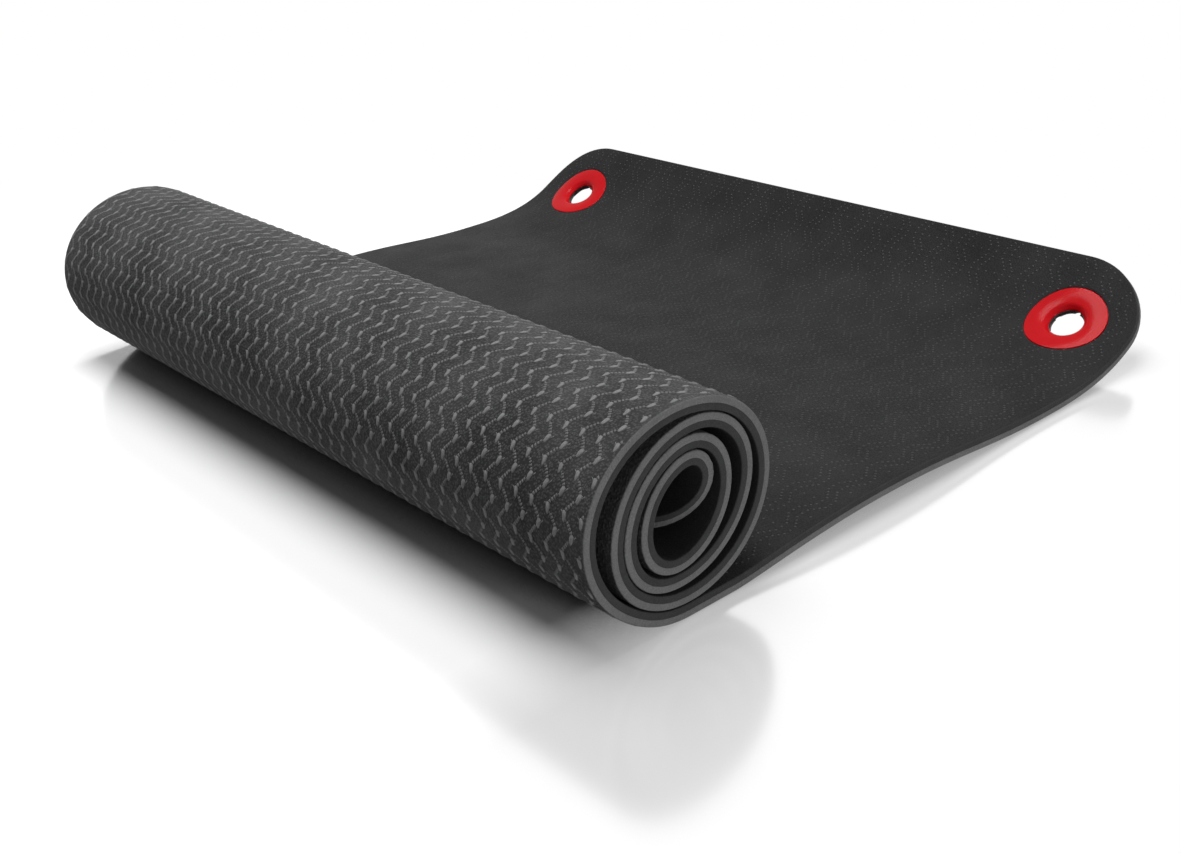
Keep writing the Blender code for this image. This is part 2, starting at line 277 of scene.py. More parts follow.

# Painted light on the floor beside the near edge, for the camera, lifting the mat's shadow there: its zone
# across, its share and its level
NEAR_PAINTED_LIGHT_ZONE = (-0.25, -0.31)
NEAR_PAINTED_LIGHT_SHARE = 0.75
NEAR_PAINTED_LIGHT_LEVEL = 0.91

# White floor for the camera: distance from the middle, and the zones under the free end, where the white is
# painted light over the mat's shadow
WHITE_DISTANCE = (0.50, 0.90)
FREE_END_PAINTED_LIGHT_ZONES = (("X", 0.20, 0.235), ("Y", -0.29, -0.265))

# Light: the world's level on the mat, and each lamp's place, size and power
WORLD_LEVEL = 0.035
LAMPS = (
    ("key", (-0.02, 0.20, 1.95), 1.4, 42),
    ("fill", (-0.22, -2.3, 0.32), 0.5, 15),
)

# Points closer together than this are one point, and a sine below this is nought
MERGE_DISTANCE = 0.00001
TINY_SINE = 1e-9


def add_camera():
    data = bpy.data.cameras.new("camera")
    data.sensor_width = CAMERA_SENSOR
    data.lens = CAMERA_LENS
    data.clip_start = CAMERA_CLIP_START
    data.clip_end = CAMERA_CLIP_END
    camera = bpy.data.objects.new("camera", data)
    bpy.context.scene.collection.objects.link(camera)
    turn = Vector(CAMERA_AIM).to_track_quat("-Z", "Y").to_matrix()
    roll = Matrix.Rotation(CAMERA_ROLL, 3, "Z")
    camera.matrix_world = Matrix.Translation(CAMERA_PLACE) @ (turn @ roll).to_4x4()
    bpy.context.scene.camera = camera


def core_radius(turn):
    """Radius of the innermost turn in a direction, smooth through the eight core shares."""
    count = len(CORE_SHARES)
    share = 0
    for index, core_share in enumerate(CORE_SHARES):
        half = math.pi * (turn - index / count)
        if abs(math.sin(half)) < TINY_SINE:
            return CORE_RADIUS * core_share
        share += core_share * math.sin(count * half) / (count * math.tan(half))
    return CORE_RADIUS * share


def looseness(turn):
    """How much the loose places further in push this place outwards, as a share of the thickness."""
    share = 0
    for place, opening, reach in LOOSE_SHARES:
        inner = turn + 1
        while inner < place + reach:
            away = abs(inner - place) / reach
            if away < 1:
                share += opening * (1 + math.cos(math.pi * away)) / 2
            inner += 1
    return share


def roll_radius(turn):
    """Distance from the roll's centre to the layer line's tangent, counted in turns from the floor."""
    wound = core_radius(turn) + (MAT_THICKNESS + TURN_GAP) * (CORE_TURN - turn)
    return wound + MAT_THICKNESS * looseness(turn)


def roll_points(fineness):
    """Layer line of the roll, from the core out, each point where two neighbouring tangents meet."""
    step = 1 / (STEPS_PER_TURN * fineness)
    step_angle = math.tau * step
    points = []
    for index in range(round(ROLL_TURNS * STEPS_PER_TURN) * fineness, -1, -1):
        angle = math.tau * index * step
        outward = Vector((-math.sin(angle), -math.cos(angle)))
        onward = Vector((-math.cos(angle), math.sin(angle)))
        here = roll_radius(index * step)
        ahead = roll_radius((index + 1) * step)
        slide = (ahead - here * math.cos(step_angle)) / math.sin(step_angle)
        points.append(outward * here + onward * slide)
    return points


def bezier_run(start, end, handle_shares, fineness):
    """Level-ended curve from start to end, without its first point."""
    run = end.x - start.x
    first = Vector((start.x + run * handle_shares[0], start.y, 0))
    second = Vector((end.x - run * handle_shares[1], end.y, 0))
    curve = interpolate_bezier(start.to_3d(), first, second, end.to_3d(), ARCH_STEPS * fineness + 1)
    return [point.to_2d() for point in curve[1:]]


def curl_points(start, fineness):
    """Free end rising in short arcs from the floor, without its first point."""
    count = CURL_STEPS * fineness
    piece = CURL_LENGTH / (len(CURL_TURN_SHARES) * count)
    heading = 0
    point = start.copy()
    points = []
    for share in CURL_TURN_SHARES:
        for _ in range(count):
            heading += CURL_ANGLE * share / sum(CURL_TURN_SHARES) / count
            point = point + piece * Vector((math.cos(heading), math.sin(heading)))
            points.append(point)
    return points


def layer_line(fineness):
    """The whole mat seen from its side: the line between its two layers, from the core to the free end."""
    points = roll_points(fineness)
    floor = -roll_radius(0)
    foot = Vector((FOOT_REACH, floor))
    crest = foot + Vector((RISE_RUN, ARCH_RISE))
    rest = foot + Vector((RISE_RUN + FALL_RUN, 0))
    lift = rest + Vector((REST_RUN, 0))
    points.append(foot)
    points += bezier_run(foot, crest, RISE_HANDLE_SHARES, fineness)
    points += bezier_run(crest, rest, FALL_HANDLE_SHARES, fineness)
    points.append(lift)
    points += curl_points(lift, fineness)
    return np.array(points) + (0, GRIP_THICKNESS - floor)


def miters(points):
    """For each point, the step that lifts both neighbouring stretches by one unit towards the top side."""
    along = np.diff(points, axis=0)
    along /= np.linalg.norm(along, axis=1)[:, None]
    normals = np.stack([-along[:, 1], along[:, 0]], 1)
    before, after = normals[:-1], normals[1:]
    inner = (before + after) / (1 + (before * after).sum(1))[:, None]
    return np.concatenate([normals[:1], inner, normals[-1:]])


class Sheet:
    """Carries places on the flat mat, as rows of along, across and level, to the rolled one."""

    def __init__(self):
        coarse = layer_line(1)
        under = coarse[:, 0] - GRIP_THICKNESS * miters(coarse)[:, 0]
        self.points = layer_line(FINENESS) - ((under.min() + under.max()) / 2, 0)
        self.steps = miters(self.points)
        pieces = np.linalg.norm(np.diff(self.points, axis=0), axis=1)
        self.stations = np.concatenate([[0], np.cumsum(pieces)])
        self.length = self.stations[-1]

    def place(self, flat):
        index = np.searchsorted(self.stations, flat[:, 0]) - 1
        index = index.clip(0, len(self.stations) - 2)
        start = self.stations[index]
        share = ((flat[:, 0] - start) / (self.stations[index + 1] - start))[:, None]
        level = flat[:, 2:]
        here = self.points[index] + level * self.steps[index]
        ahead = self.points[index + 1] + level * self.steps[index + 1]
        spot = here + (ahead - here) * share
        return np.stack([spot[:, 0], flat[:, 1], spot[:, 1]], 1)


def new_object(name, data, material=None):
    thing = bpy.data.objects.new(name, data)
    bpy.context.scene.collection.objects.link(thing)
    if material:
        data.materials.append(material)
    return thing


def roll_up(mesh, sheet):
    """Keeps each vertex's flat place as an attribute, then carries it to the rolled mat."""
    flat = np.zeros(len(mesh.vertices) * 3, np.float32)
    mesh.vertices.foreach_get("co", flat)
    mesh.attributes.new("flat_place", "FLOAT_VECTOR", "POINT").data.foreach_set("vector", flat)
    placed = sheet.place(flat.reshape(-1, 3).astype(float))
    mesh.vertices.foreach_set("co", placed.astype(np.float32).ravel())
    mesh.update()


def outline_rows(sheet, inset):
    """Along and half width of each row of the mat's outline, drawn in by inset."""
    corner = CORNER_RADIUS - inset
    turns = np.linspace(0, math.pi / 2, CORNER_ROWS + 1)
    rise = inset + corner * (1 - np.cos(turns))
    half = MAT_WIDTH / 2 - CORNER_RADIUS + corner * np.sin(turns)
    clear = CORNER_RADIUS * CORNER_CLEAR_SHARE
    inside = (sheet.stations > clear) & (sheet.stations < sheet.length - clear)
    middle = sheet.stations[inside]
    along = np.concatenate([rise, middle, sheet.length - rise[::-1]])
    across = np.concatenate([half, np.full(len(middle), MAT_WIDTH / 2 - inset), half[::-1]])
    return along, across


def foam_slab(name, low, high, low_edge, high_edge, sheet, material):
    """A foam layer lying flat: a grid below and above, and rings of points round its rounded edges."""
    columns = np.linspace(-1, 1, COLUMNS + 1)
    low_middle = low_edge * EDGE_MIDDLE_SHARE
    high_middle = high_edge * EDGE_MIDDLE_SHARE
    rings = [
        (low_edge, low), (low_middle, low + low_middle), (0, low + low_edge),
        (0, high - high_edge), (high_middle, high - high_middle), (high_edge, high),
    ]
    vertices = []
    rims = []
    grids = []
    for number, (inset, level) in enumerate(rings):
        along, across = outline_rows(sheet, inset)
        rows = len(along)
        grid = np.stack([
            np.repeat(along, len(columns)),
            np.outer(across, columns).ravel(),
            np.full(rows * len(columns), level),
        ], 1)
        index = np.arange(rows * len(columns)).reshape(rows, -1)
        rim = np.concatenate([index[0, :-1], index[:-1, -1], index[-1, :0:-1], index[:0:-1, 0]])
        start = sum(len(part) for part in vertices)
        if number in (0, len(rings) - 1):
            vertices.append(grid)
            grids.append(index + start)
            rims.append(rim + start)
        else:
            vertices.append(grid[rim])
            rims.append(np.arange(len(rim)) + start)
    faces = []
    for index, flip in zip(grids, (False, True)):
        quads = np.stack([index[:-1, :-1], index[:-1, 1:], index[1:, 1:], index[1:, :-1]], -1).reshape(-1, 4)
        faces.append(quads[:, ::-1] if flip else quads)
    for lower, upper in zip(rims, rims[1:]):
        faces.append(np.stack([lower, upper, np.roll(upper, -1), np.roll(lower, -1)], -1))
    mesh = bpy.data.meshes.new(name)
    mesh.from_pydata(np.concatenate(vertices).tolist(), [], np.concatenate(faces).tolist())
    return new_object(name, mesh, material)


def foam_layer(name, low, high, low_edge, high_edge, sections, sheet, material):
    """One foam layer, its eyelet holes and seats cut while it is flat, then rolled up."""
    layer = foam_slab(name, low, high, low_edge, high_edge, sheet, material)
    cutters = []
    for side in (-1, 1):
        for section in sections:
            cutter = turned_solid("foam_cutter", section, HOLE_STEPS)
            cutter.location = (sheet.length - EYELET_FROM_END, side * (MAT_WIDTH / 2 - EYELET_FROM_SIDE), 0)
            cutters.append(cutter)
    cut_away(layer, cutters)
    recalculate_normals(layer.data)
    layer.data.shade_smooth()
    layer.data.set_sharp_from_angle(angle=FOAM_SHARP_ANGLE)
    roll_up(layer.data, sheet)
    return layer


def apply_modifiers(thing):
    graph = bpy.context.evaluated_depsgraph_get()
    data = bpy.data.meshes.new_from_object(thing.evaluated_get(graph))
    thing.modifiers.clear()
    thing.data = data


def cut_away(thing, cutters):
    """Cuts each cutter from the thing, then removes the cutters."""
    for cutter in cutters:
        cut = thing.modifiers.new("cut", "BOOLEAN")
        cut.operation = "DIFFERENCE"
        cut.solver = "EXACT"
        cut.object = cutter
    bpy.context.view_layer.update()
    apply_modifiers(thing)
    for cutter in cutters:
        bpy.data.objects.remove(cutter)


def recalculate_normals(data):
    mesh = bmesh.new()
    mesh.from_mesh(data)
    bmesh.ops.recalc_face_normals(mesh, faces=mesh.faces[:])
    mesh.to_mesh(data)
    mesh.free()


def turned_solid(name, profile, steps, material=None):
    """Solid made by turning a section about the upright axis; ends of the section may lie on it."""
    data = bpy.data.meshes.new(name)
    corners = [(point[0], 0, point[1]) for point in profile]
    closed = min(point[0] for point in profile) > MERGE_DISTANCE
    count = len(profile)
    edges = [(index, (index + 1) % count) for index in range(count if closed else count - 1)]
    data.from_pydata(corners, edges, [])
    solid = new_object(name, data, material)
    turn = solid.modifiers.new("turn", "SCREW")
    turn.steps = steps
    turn.render_steps = steps
    turn.use_merge_vertices = True
    turn.merge_threshold = MERGE_DISTANCE
    bpy.context.view_layer.update()
    apply_modifiers(solid)
    recalculate_normals(solid.data)
    return solid


def hole_section():
    radius = COLLAR_RADIUS + EYELET_CLEARANCE
    return [(0, -MAT_THICKNESS), (radius, -MAT_THICKNESS), (radius, MAT_THICKNESS), (0, MAT_THICKNESS)]


def seat_section(radius, seat, face):
    """Section of the dent a flange presses into a face, its rim rounded off like soft foam."""
    wall = radius + EYELET_CLEARANCE
    away = math.copysign(1, face)
    depth = abs(face - seat)
    points = [(0, seat), (wall, seat)]
    for index in range(SEAT_STEPS + 1):
        quarter = math.pi / 2 * index / SEAT_STEPS
        spot = wall + SEAT_SOFTNESS * (1 - math.cos(quarter))
        rise = SEAT_WALL_SHARE + (1 - SEAT_WALL_SHARE) * math.sin(quarter)
        points.append((spot, seat + away * depth * rise))
    beyond = face + away * FOAM_PRESS
    points += [(wall + SEAT_SOFTNESS, beyond), (0, beyond)]
    return points if away > 0 else points[::-1]


def humped_run(start, end, bulge, count):
    """Points after start, up to and with end, on a shallow hump of the given height."""
    points = []
    for index in range(1, count + 1):
        share = index / count
        points.append(start.lerp(end, share) + Vector((0, bulge * math.sin(math.pi * share))))
    return points


def rounded(points, radius, count):
    """The closed profile with each corner taken off by a small arc."""
    result = []
    for index, corner in enumerate(points):
        before = points[index - 1] - corner
        after = points[(index + 1) % len(points)] - corner
        reach = min(radius, before.length * ROUNDED_SIDE_SHARE, after.length * ROUNDED_SIDE_SHARE)
        if before.angle(after) > BLUNT_CORNER:
            result.append(corner)
            continue
        start = corner + before.normalized() * reach
        end = corner + after.normalized() * reach
        for step in range(count + 1):
            share = step / count
            result.append(start.lerp(corner, share).lerp(corner.lerp(end, share), share))
    return result


def flange_profile():
    """Section of the flanged ring: radius and level, from the flange's edge in and down the barrel."""
    seat = TOP_SEAT + EYELET_CLEARANCE
    crest = seat + FLANGE_HEIGHT
    edge = Vector((FLANGE_RADIUS, seat + FLANGE_EDGE))
    brim = Vector((FUNNEL_RADIUS, crest))
    throat = Vector((BORE_RADIUS, crest - FUNNEL_DEPTH))
    points = [edge]
    points += humped_run(edge, brim, FLANGE_HUMP, FLANGE_HUMP_STEPS)
    points += humped_run(brim, throat, FUNNEL_HUMP, FUNNEL_HUMP_STEPS)
    points.append(Vector((BORE_RADIUS, BARREL_END)))
    points.append(Vector((BARREL_RADIUS, BARREL_END)))
    points.append(Vector((BARREL_RADIUS, seat)))
    points.append(Vector((FLANGE_RADIUS, seat)))
    return rounded(points, FLANGE_ROUNDING, FLANGE_ROUNDING_STEPS)[::-1]


def snap_profile():
    """Section of the snap ring: radius and level, from its lip up to the collar, out and back below."""
    seat = GRIP_SEAT - EYELET_CLEARANCE
    step = BARREL_END - EYELET_CLEARANCE
    points = [Vector((SNAP_LIP_RADIUS, SNAP_LIP_LEVEL)), Vector((SNAP_STEP_RADIUS, SNAP_LIP_LEVEL))]
    points.append(Vector((SNAP_STEP_RADIUS, step)))
    points.append(Vector((SOCKET_RADIUS, step)))
    points.append(Vector((SOCKET_RADIUS, COLLAR_END)))
    points.append(Vector((COLLAR_RADIUS, COLLAR_END)))
    points.append(Vector((COLLAR_RADIUS, seat)))
    points.append(Vector((SNAP_RADIUS, seat)))
    edge = Vector((SNAP_RADIUS, seat - SNAP_EDGE))
    points.append(edge)
    flare = Vector((SNAP_FLARE_RADIUS, seat - SNAP_HEIGHT))
    points += humped_run(edge, flare, -SNAP_HUMP, SNAP_HUMP_STEPS)
    points.append(Vector((SNAP_LIP_RADIUS, SNAP_LIP_LEVEL - SNAP_LIP_THICKNESS)))
    return rounded(points, SNAP_ROUNDING, SNAP_ROUNDING_STEPS)


def turned_ring(name, profile, across, sheet, material, notched=False):
    """Closed profile turned about the hole's axis on the flat mat, notched if asked, then rolled up."""
    ring = turned_solid(name, profile, RING_STEPS, material)
    if notched:
        cutters = []
        for index in range(NOTCH_COUNT):
            angle = math.copysign(NOTCH_TURN + math.tau * index / NOTCH_COUNT, across)
            section = [(0, -MAT_THICKNESS), (NOTCH_RADIUS, -MAT_THICKNESS)]
            section += [(NOTCH_RADIUS, MAT_THICKNESS), (0, MAT_THICKNESS)]
            cutter = turned_solid("notch_cutter", section, NOTCH_STEPS)
            cutter.location = (NOTCH_RING_RADIUS * math.cos(angle), NOTCH_RING_RADIUS * math.sin(angle), 0)
            cutters.append(cutter)
        cut_away(ring, cutters)
    ring.data.transform(Matrix.Translation((sheet.length - EYELET_FROM_END, across, 0)))
    ring.data.shade_smooth()
    ring.data.set_sharp_from_angle(angle=RING_SHARP_ANGLE)
    roll_up(ring.data, sheet)
    return ring


class Mounds:
    """Gathers many small raised shapes on the flat mat, then makes them one mesh."""

    def __init__(self, side, ground):
        self.side = side
        self.ground = ground
        self.vertices = []
        self.faces = []
        self.count = 0

    def add(self, places, outline, height, shoulder=None, apex=None, flat=False):
        """Stamps a mound on each place: a base, a shoulder drawn in to its share, an apex or a flat top."""
        outline = np.array(outline) * MILLIMETRE
        middle = outline.mean(0) if apex is None else np.array(apex) * MILLIMETRE
        rings = [(outline, -RELIEF_ROOT)]
        if shoulder:
            rise = height if flat else height * SHOULDER_RISE_SHARE
            rings.append((middle + (outline - middle) * shoulder, rise))
        size = len(outline)
        unit = np.concatenate([np.column_stack([ring, np.full(size, rise)]) for ring, rise in rings])
        if not flat:
            unit = np.concatenate([unit, [[*middle, height]]])
        unit_faces = []
        for ring in range(len(rings) - 1):
            for index in range(size):
                after = (index + 1) % size
                low = ring * size
                unit_faces.append((low + index, low + after, low + size + after, low + size + index))
        last = (len(rings) - 1) * size
        if flat:
            unit_faces.append(tuple(range(last, last + size)))
        else:
            for index in range(size):
                unit_faces.append((last + index, last + (index + 1) % size, last + size))
        unit_faces.append(tuple(range(size))[::-1])
        stamped = unit[None, :, :] + np.column_stack([places, np.zeros(len(places))])[:, None, :]
        self.vertices.append(stamped.reshape(-1, 3))
        for start in range(self.count, self.count + len(places) * len(unit), len(unit)):
            for face in unit_faces:
                self.faces.append([start + corner for corner in face])
        self.count += len(places) * len(unit)

    def build(self, name, sheet, material):
        vertices = np.concatenate(self.vertices)
        vertices[:, :2] = held_inside(vertices[:, :2], sheet)
        vertices[:, 2] = self.side * (self.ground + vertices[:, 2])
        mesh = bpy.data.meshes.new(name)
        mesh.from_pydata(vertices.tolist(), [], self.faces)
        recalculate_normals(mesh)
        roll_up(mesh, sheet)
        mesh.shade_smooth()
        return new_object(name, mesh, material)


def held_inside(spots, sheet):
    """Spots past the mat's outline, less a small margin, drawn back onto it."""
    held = spots.copy()
    half = MAT_WIDTH / 2 - RELIEF_MARGIN
    held[:, 1] = held[:, 1].clip(-half, half)
    held[:, 0] = held[:, 0].clip(RELIEF_MARGIN, sheet.length - RELIEF_MARGIN)
    centre = np.column_stack([
        held[:, 0].clip(CORNER_RADIUS, sheet.length - CORNER_RADIUS),
        held[:, 1].clip(CORNER_RADIUS - MAT_WIDTH / 2, MAT_WIDTH / 2 - CORNER_RADIUS),
    ])
    away = held - centre
    reach = np.linalg.norm(away, axis=1)
    far = reach > CORNER_RADIUS - RELIEF_MARGIN
    held[far] = centre[far] + away[far] * ((CORNER_RADIUS - RELIEF_MARGIN) / reach[far])[:, None]
    return held


def on_sheet(spots, sheet, ring_radius):
    """True for each spot inside the mat's outline and outside its eyelets."""
    kept = np.abs(held_inside(spots, sheet) - spots).max(1) < MERGE_DISTANCE
    for side in (-1, 1):
        eyelet = (sheet.length - EYELET_FROM_END, side * (MAT_WIDTH / 2 - EYELET_FROM_SIDE))
        kept &= np.linalg.norm(spots - eyelet, axis=1) > ring_radius
    return kept


def lattice(start, pitch, low, high):
    """Every place start + k * pitch between low and high."""
    first = math.ceil((low - start) / pitch)
    last = math.floor((high - start) / pitch)
    return start + pitch * np.arange(first, last + 1)


def bar(along, across, length, width, heading, corners=4):
    """Outline of a short bar lying at a heading, in millimetres."""
    grown = 1 / math.cos(math.pi / corners)
    outline = []
    for turn in range(corners):
        angle = math.tau * (turn + 0.5) / corners
        reach = (length / 2 * grown * math.cos(angle), width / 2 * grown * math.sin(angle))
        outline.append((
            along + reach[0] * math.cos(heading) - reach[1] * math.sin(heading),
            across + reach[0] * math.sin(heading) + reach[1] * math.cos(heading),
        ))
    return outline


def grip_relief(name, low, high, sheet, material):
    """Lozenges at the bends of the zigzag lines, chains of bars between them, and their wings."""
    mounds = Mounds(-1, GRIP_THICKNESS)
    lines = lattice(LINE_START, LINE_PITCH, -MAT_WIDTH / 2 - LINE_PITCH, MAT_WIDTH / 2 + LINE_PITCH)
    repeats = lattice(REPEAT_START, REPEAT, low - REPEAT, high + REPEAT)
    right = np.stack(np.meshgrid(repeats, lines), -1).reshape(-1, 2)
    bends = {"right": right, "left": right + (LEFT_BEND_ALONG, LEFT_BEND_ACROSS)}
    shapes = []
    for bend, outline in LOZENGES:
        outline = np.array(outline) * LOZENGE_SCALE
        shapes.append((bend, outline, LOZENGE_HEIGHT, LOZENGE_SHOULDER_SHARE, None, False))
    for bend, heading, bars in BAR_CHAINS:
        for along, across, length, width in bars:
            outline = bar(along, across, length, width, heading)
            shapes.append((bend, outline, BAR_HEIGHT, BAR_SHOULDER_SHARE, None, True))
    for bend, outline, apex, share in WINGS:
        shapes.append((bend, outline, WING_HEIGHT * share, None, apex, False))
    for bend, outline, height, shoulder, apex, flat in shapes:
        origin = bends[bend]
        middle = origin + np.array(outline).mean(0) * MILLIMETRE
        kept = (middle[:, 0] >= low) & (middle[:, 0] < high)
        kept &= on_sheet(middle, sheet, SNAP_RADIUS + EYELET_MARGIN)
        mounds.add(origin[kept], outline, height, shoulder, apex, flat)
    return mounds.build(name, sheet, material)


def top_relief(name, low, high, sheet, material):
    """Slanted strokes of low dots that make nested diamonds, with single dots between their rows."""
    mounds = Mounds(1, TOP_THICKNESS)
    row = DIAMOND_ALONG / 2
    half = MAT_WIDTH / 2 + DIAMOND_ACROSS
    spots = []
    for along in lattice(DIAMOND_START_ALONG, row, low - row, high + row):
        parity = round((along - DIAMOND_START_ALONG) / row) % 2
        start = DIAMOND_START_ACROSS + parity * DIAMOND_ACROSS / 2
        for across in lattice(start, DIAMOND_ACROSS, -half, half):
            for side in (-1, 1):
                for stroke in STROKE_PLACES:
                    for step in STROKE_STEPS:
                        spots.append((
                            along + row / 2 + step * STROKE_STEP_ALONG,
                            across + side * (stroke + step * STROKE_STEP_ACROSS),
                        ))
            for offset in SINGLE_DOTS:
                spots.append((along, across + offset))
                spots.append((along, across - offset))
    spots = np.array(spots)
    kept = (spots[:, 0] >= low) & (spots[:, 0] < high)
    kept &= on_sheet(spots, sheet, FLANGE_RADIUS + EYELET_MARGIN)
    mounds.add(spots[kept], bar(0, 0, DOT_SIZE, DOT_SIZE, 0, DOT_CORNERS), DOT_HEIGHT)
    return mounds.build(name, sheet, material)


def feed(tree, socket, value):
    """Links the socket to the given one, or sets it to the given value."""
    if isinstance(value, bpy.types.NodeSocket):
        tree.links.new(value, socket)
    else:
        socket.default_value = value


def calculate(tree, operation, *values):
    """Result of a Math node on sockets and numbers."""
    node = tree.nodes.new("ShaderNodeMath")
    node.operation = operation
    for socket, value in zip(node.inputs, values):
        feed(tree, socket, value)
    return node.outputs[0]


def carry_range(tree, value, source, target, interpolation="LINEAR"):
    """Value carried from one range to another, and held inside it."""
    node = tree.nodes.new("ShaderNodeMapRange")
    node.interpolation_type = interpolation
    feed(tree, node.inputs["Value"], value)
    for end, (low, high) in (("From", source), ("To", target)):
        node.inputs[end + " Min"].default_value = low
        node.inputs[end + " Max"].default_value = high
    return node.outputs[0]


def mix_colours(tree, factor, first, second):
    node = tree.nodes.new("ShaderNodeMix")
    node.data_type = "RGBA"
    for name, value in (("Factor", factor), ("A", first), ("B", second)):
        feed(tree, node.inputs[name], value)
    return node.outputs["Result"]


def mix_shaders(tree, factor, first, second):
    node = tree.nodes.new("ShaderNodeMixShader")
    for socket, value in zip(node.inputs, (factor, first, second)):
        feed(tree, socket, value)
    return node.outputs[0]


def flat_place(tree):
    """Place on the flat mat, as kept by roll_up."""
    node = tree.nodes.new("ShaderNodeAttribute")
    node.attribute_name = "flat_place"
    return node.outputs["Vector"]


def add_bump(tree, height, distance, shader):
    node = tree.nodes.new("ShaderNodeBump")
    node.inputs["Distance"].default_value = distance
    tree.links.new(height, node.inputs["Height"])
    tree.links.new(node.outputs[0], shader.inputs["Normal"])
    return node


def foam_skin_group():
    """Fine moulded grain: a mottled colour, a roughness and a height that vary over the flat mat."""
    group = bpy.data.node_groups.new("foam_skin", "ShaderNodeTree")
    face = group.interface
    for name, kind in (
        ("Place", "NodeSocketVector"),
        ("Dark Colour", "NodeSocketColor"), ("Light Colour", "NodeSocketColor"),
        ("Grain Size", "NodeSocketFloat"), ("Patch Size", "NodeSocketFloat"),
    ):
        face.new_socket(name=name, in_out="INPUT", socket_type=kind)
    for name, kind in (
        ("Colour", "NodeSocketColor"), ("Roughness", "NodeSocketFloat"), ("Height", "NodeSocketFloat"),
    ):
        face.new_socket(name=name, in_out="OUTPUT", socket_type=kind)
    entry = group.nodes.new("NodeGroupInput")
    leave = group.nodes.new("NodeGroupOutput")
    cells = group.nodes.new("ShaderNodeTexVoronoi")
    cells.feature = "F1"
    patches = group.nodes.new("ShaderNodeTexNoise")
    patches.inputs["Detail"].default_value = PATCH_DETAIL
    for texture, size in ((cells, "Grain Size"), (patches, "Patch Size")):
        feed(group, texture.inputs["Vector"], entry.outputs["Place"])
        feed(group, texture.inputs["Scale"], calculate(group, "DIVIDE", 1, entry.outputs[size]))
    dome = carry_range(group, cells.outputs["Distance"], GRAIN_REACH, (1, 0))
    soft = calculate(group, "MULTIPLY_ADD", patches.outputs[0], PATCH_TONE, PATCH_TONE_START)
    blend = calculate(group, "MULTIPLY_ADD", dome, GRAIN_TONE, soft)
    colour = mix_colours(group, blend, entry.outputs["Dark Colour"], entry.outputs["Light Colour"])
    rough = carry_range(group, blend, (0, 1), FOAM_ROUGHNESS)
    for name, value in (("Colour", colour), ("Roughness", rough), ("Height", dome)):
        feed(group, leave.inputs[name], value)
    return group


def place_skin(tree, group, place, dark, light, grain, patch):
    """The foam's skin in a material, with colours and sizes of its own."""
    skin = tree.nodes.new("ShaderNodeGroup")
    skin.node_tree = group
    for name, value in (
        ("Place", place), ("Dark Colour", (*dark, 1)), ("Light Colour", (*light, 1)),
        ("Grain Size", grain), ("Patch Size", patch),
    ):
        feed(tree, skin.inputs[name], value)
    return skin


def face_levels(face):
    """Levels between which a layer's face goes over to its cut side."""
    return tuple(face * share for share in FACE_END_SHARES)


def foam_material(name, group, dark, light, grain, patch, depth, side_colours=None, levels=None):
    """Foam with its moulded grain on the face, going over to side colours between two levels."""
    material = bpy.data.materials.new(name)
    material.use_nodes = True
    tree = material.node_tree
    shader = tree.nodes["Principled BSDF"]
    shader.inputs["Specular IOR Level"].default_value = FOAM_SPECULAR
    place = flat_place(tree)
    skin = place_skin(tree, group, place, dark, light, grain, patch)
    colour = skin.outputs["Colour"]
    if side_colours:
        split = tree.nodes.new("ShaderNodeSeparateXYZ")
        tree.links.new(place, split.inputs[0])
        side = place_skin(tree, group, place, *side_colours, SIDE_GRAIN, SIDE_PATCH)
        mask = carry_range(tree, split.outputs["Z"], levels, (0, 1))
        colour = mix_colours(tree, mask, colour, side.outputs["Colour"])
    tree.links.new(colour, shader.inputs["Base Color"])
    tree.links.new(skin.outputs["Roughness"], shader.inputs["Roughness"])
    bump = add_bump(tree, skin.outputs["Height"], depth, shader)
    bump.inputs["Strength"].default_value = 1
    return material


def plastic_material(name, dark, light, roughness, shine):
    """Moulded plastic with a faint unevenness in its colour and surface."""
    material = bpy.data.materials.new(name)
    material.use_nodes = True
    tree = material.node_tree
    shader = tree.nodes["Principled BSDF"]
    shader.inputs["Specular IOR Level"].default_value = shine
    noise = tree.nodes.new("ShaderNodeTexNoise")
    noise.inputs["Scale"].default_value = PLASTIC_NOISE_SCALE
    noise.inputs["Detail"].default_value = PLASTIC_NOISE_DETAIL
    tree.links.new(flat_place(tree), noise.inputs["Vector"])
    colour = mix_colours(tree, noise.outputs[0], (*dark, 1), (*light, 1))
    tree.links.new(colour, shader.inputs["Base Color"])
    ends = [roughness * share for share in PLASTIC_ROUGHNESS_SHARES]
    rough = carry_range(tree, noise.outputs[0], (0, 1), ends)
    tree.links.new(rough, shader.inputs["Roughness"])
    add_bump(tree, noise.outputs[0], PLASTIC_BUMP, shader)
    return material


def floor_shade(tree, camera_ray):
    """The floor's colour with painted shade, darker in close corners, and brighter to the camera than to the
    mat.
    """
    closeness = tree.nodes.new("ShaderNodeAmbientOcclusion")
    closeness.inputs["Distance"].default_value = CLOSE_REACH
    closeness.samples = CLOSE_SAMPLES
    shade = tree.nodes.new("ShaderNodeValToRGB")
    for stop, (openness, grey) in zip(shade.color_ramp.elements, CLOSE_STOPS):
        stop.position = openness
        stop.color = (grey, grey, grey, 1)
    tree.links.new(closeness.outputs["AO"], shade.inputs["Fac"])
    lit = tree.nodes.new("ShaderNodeVectorMath")
    lit.operation = "SCALE"
    tree.links.new(shade.outputs["Color"], lit.inputs[0])
    tree.links.new(carry_range(tree, camera_ray, (0, 1), FLOOR_GAINS), lit.inputs["Scale"])
    return lit.outputs[0]


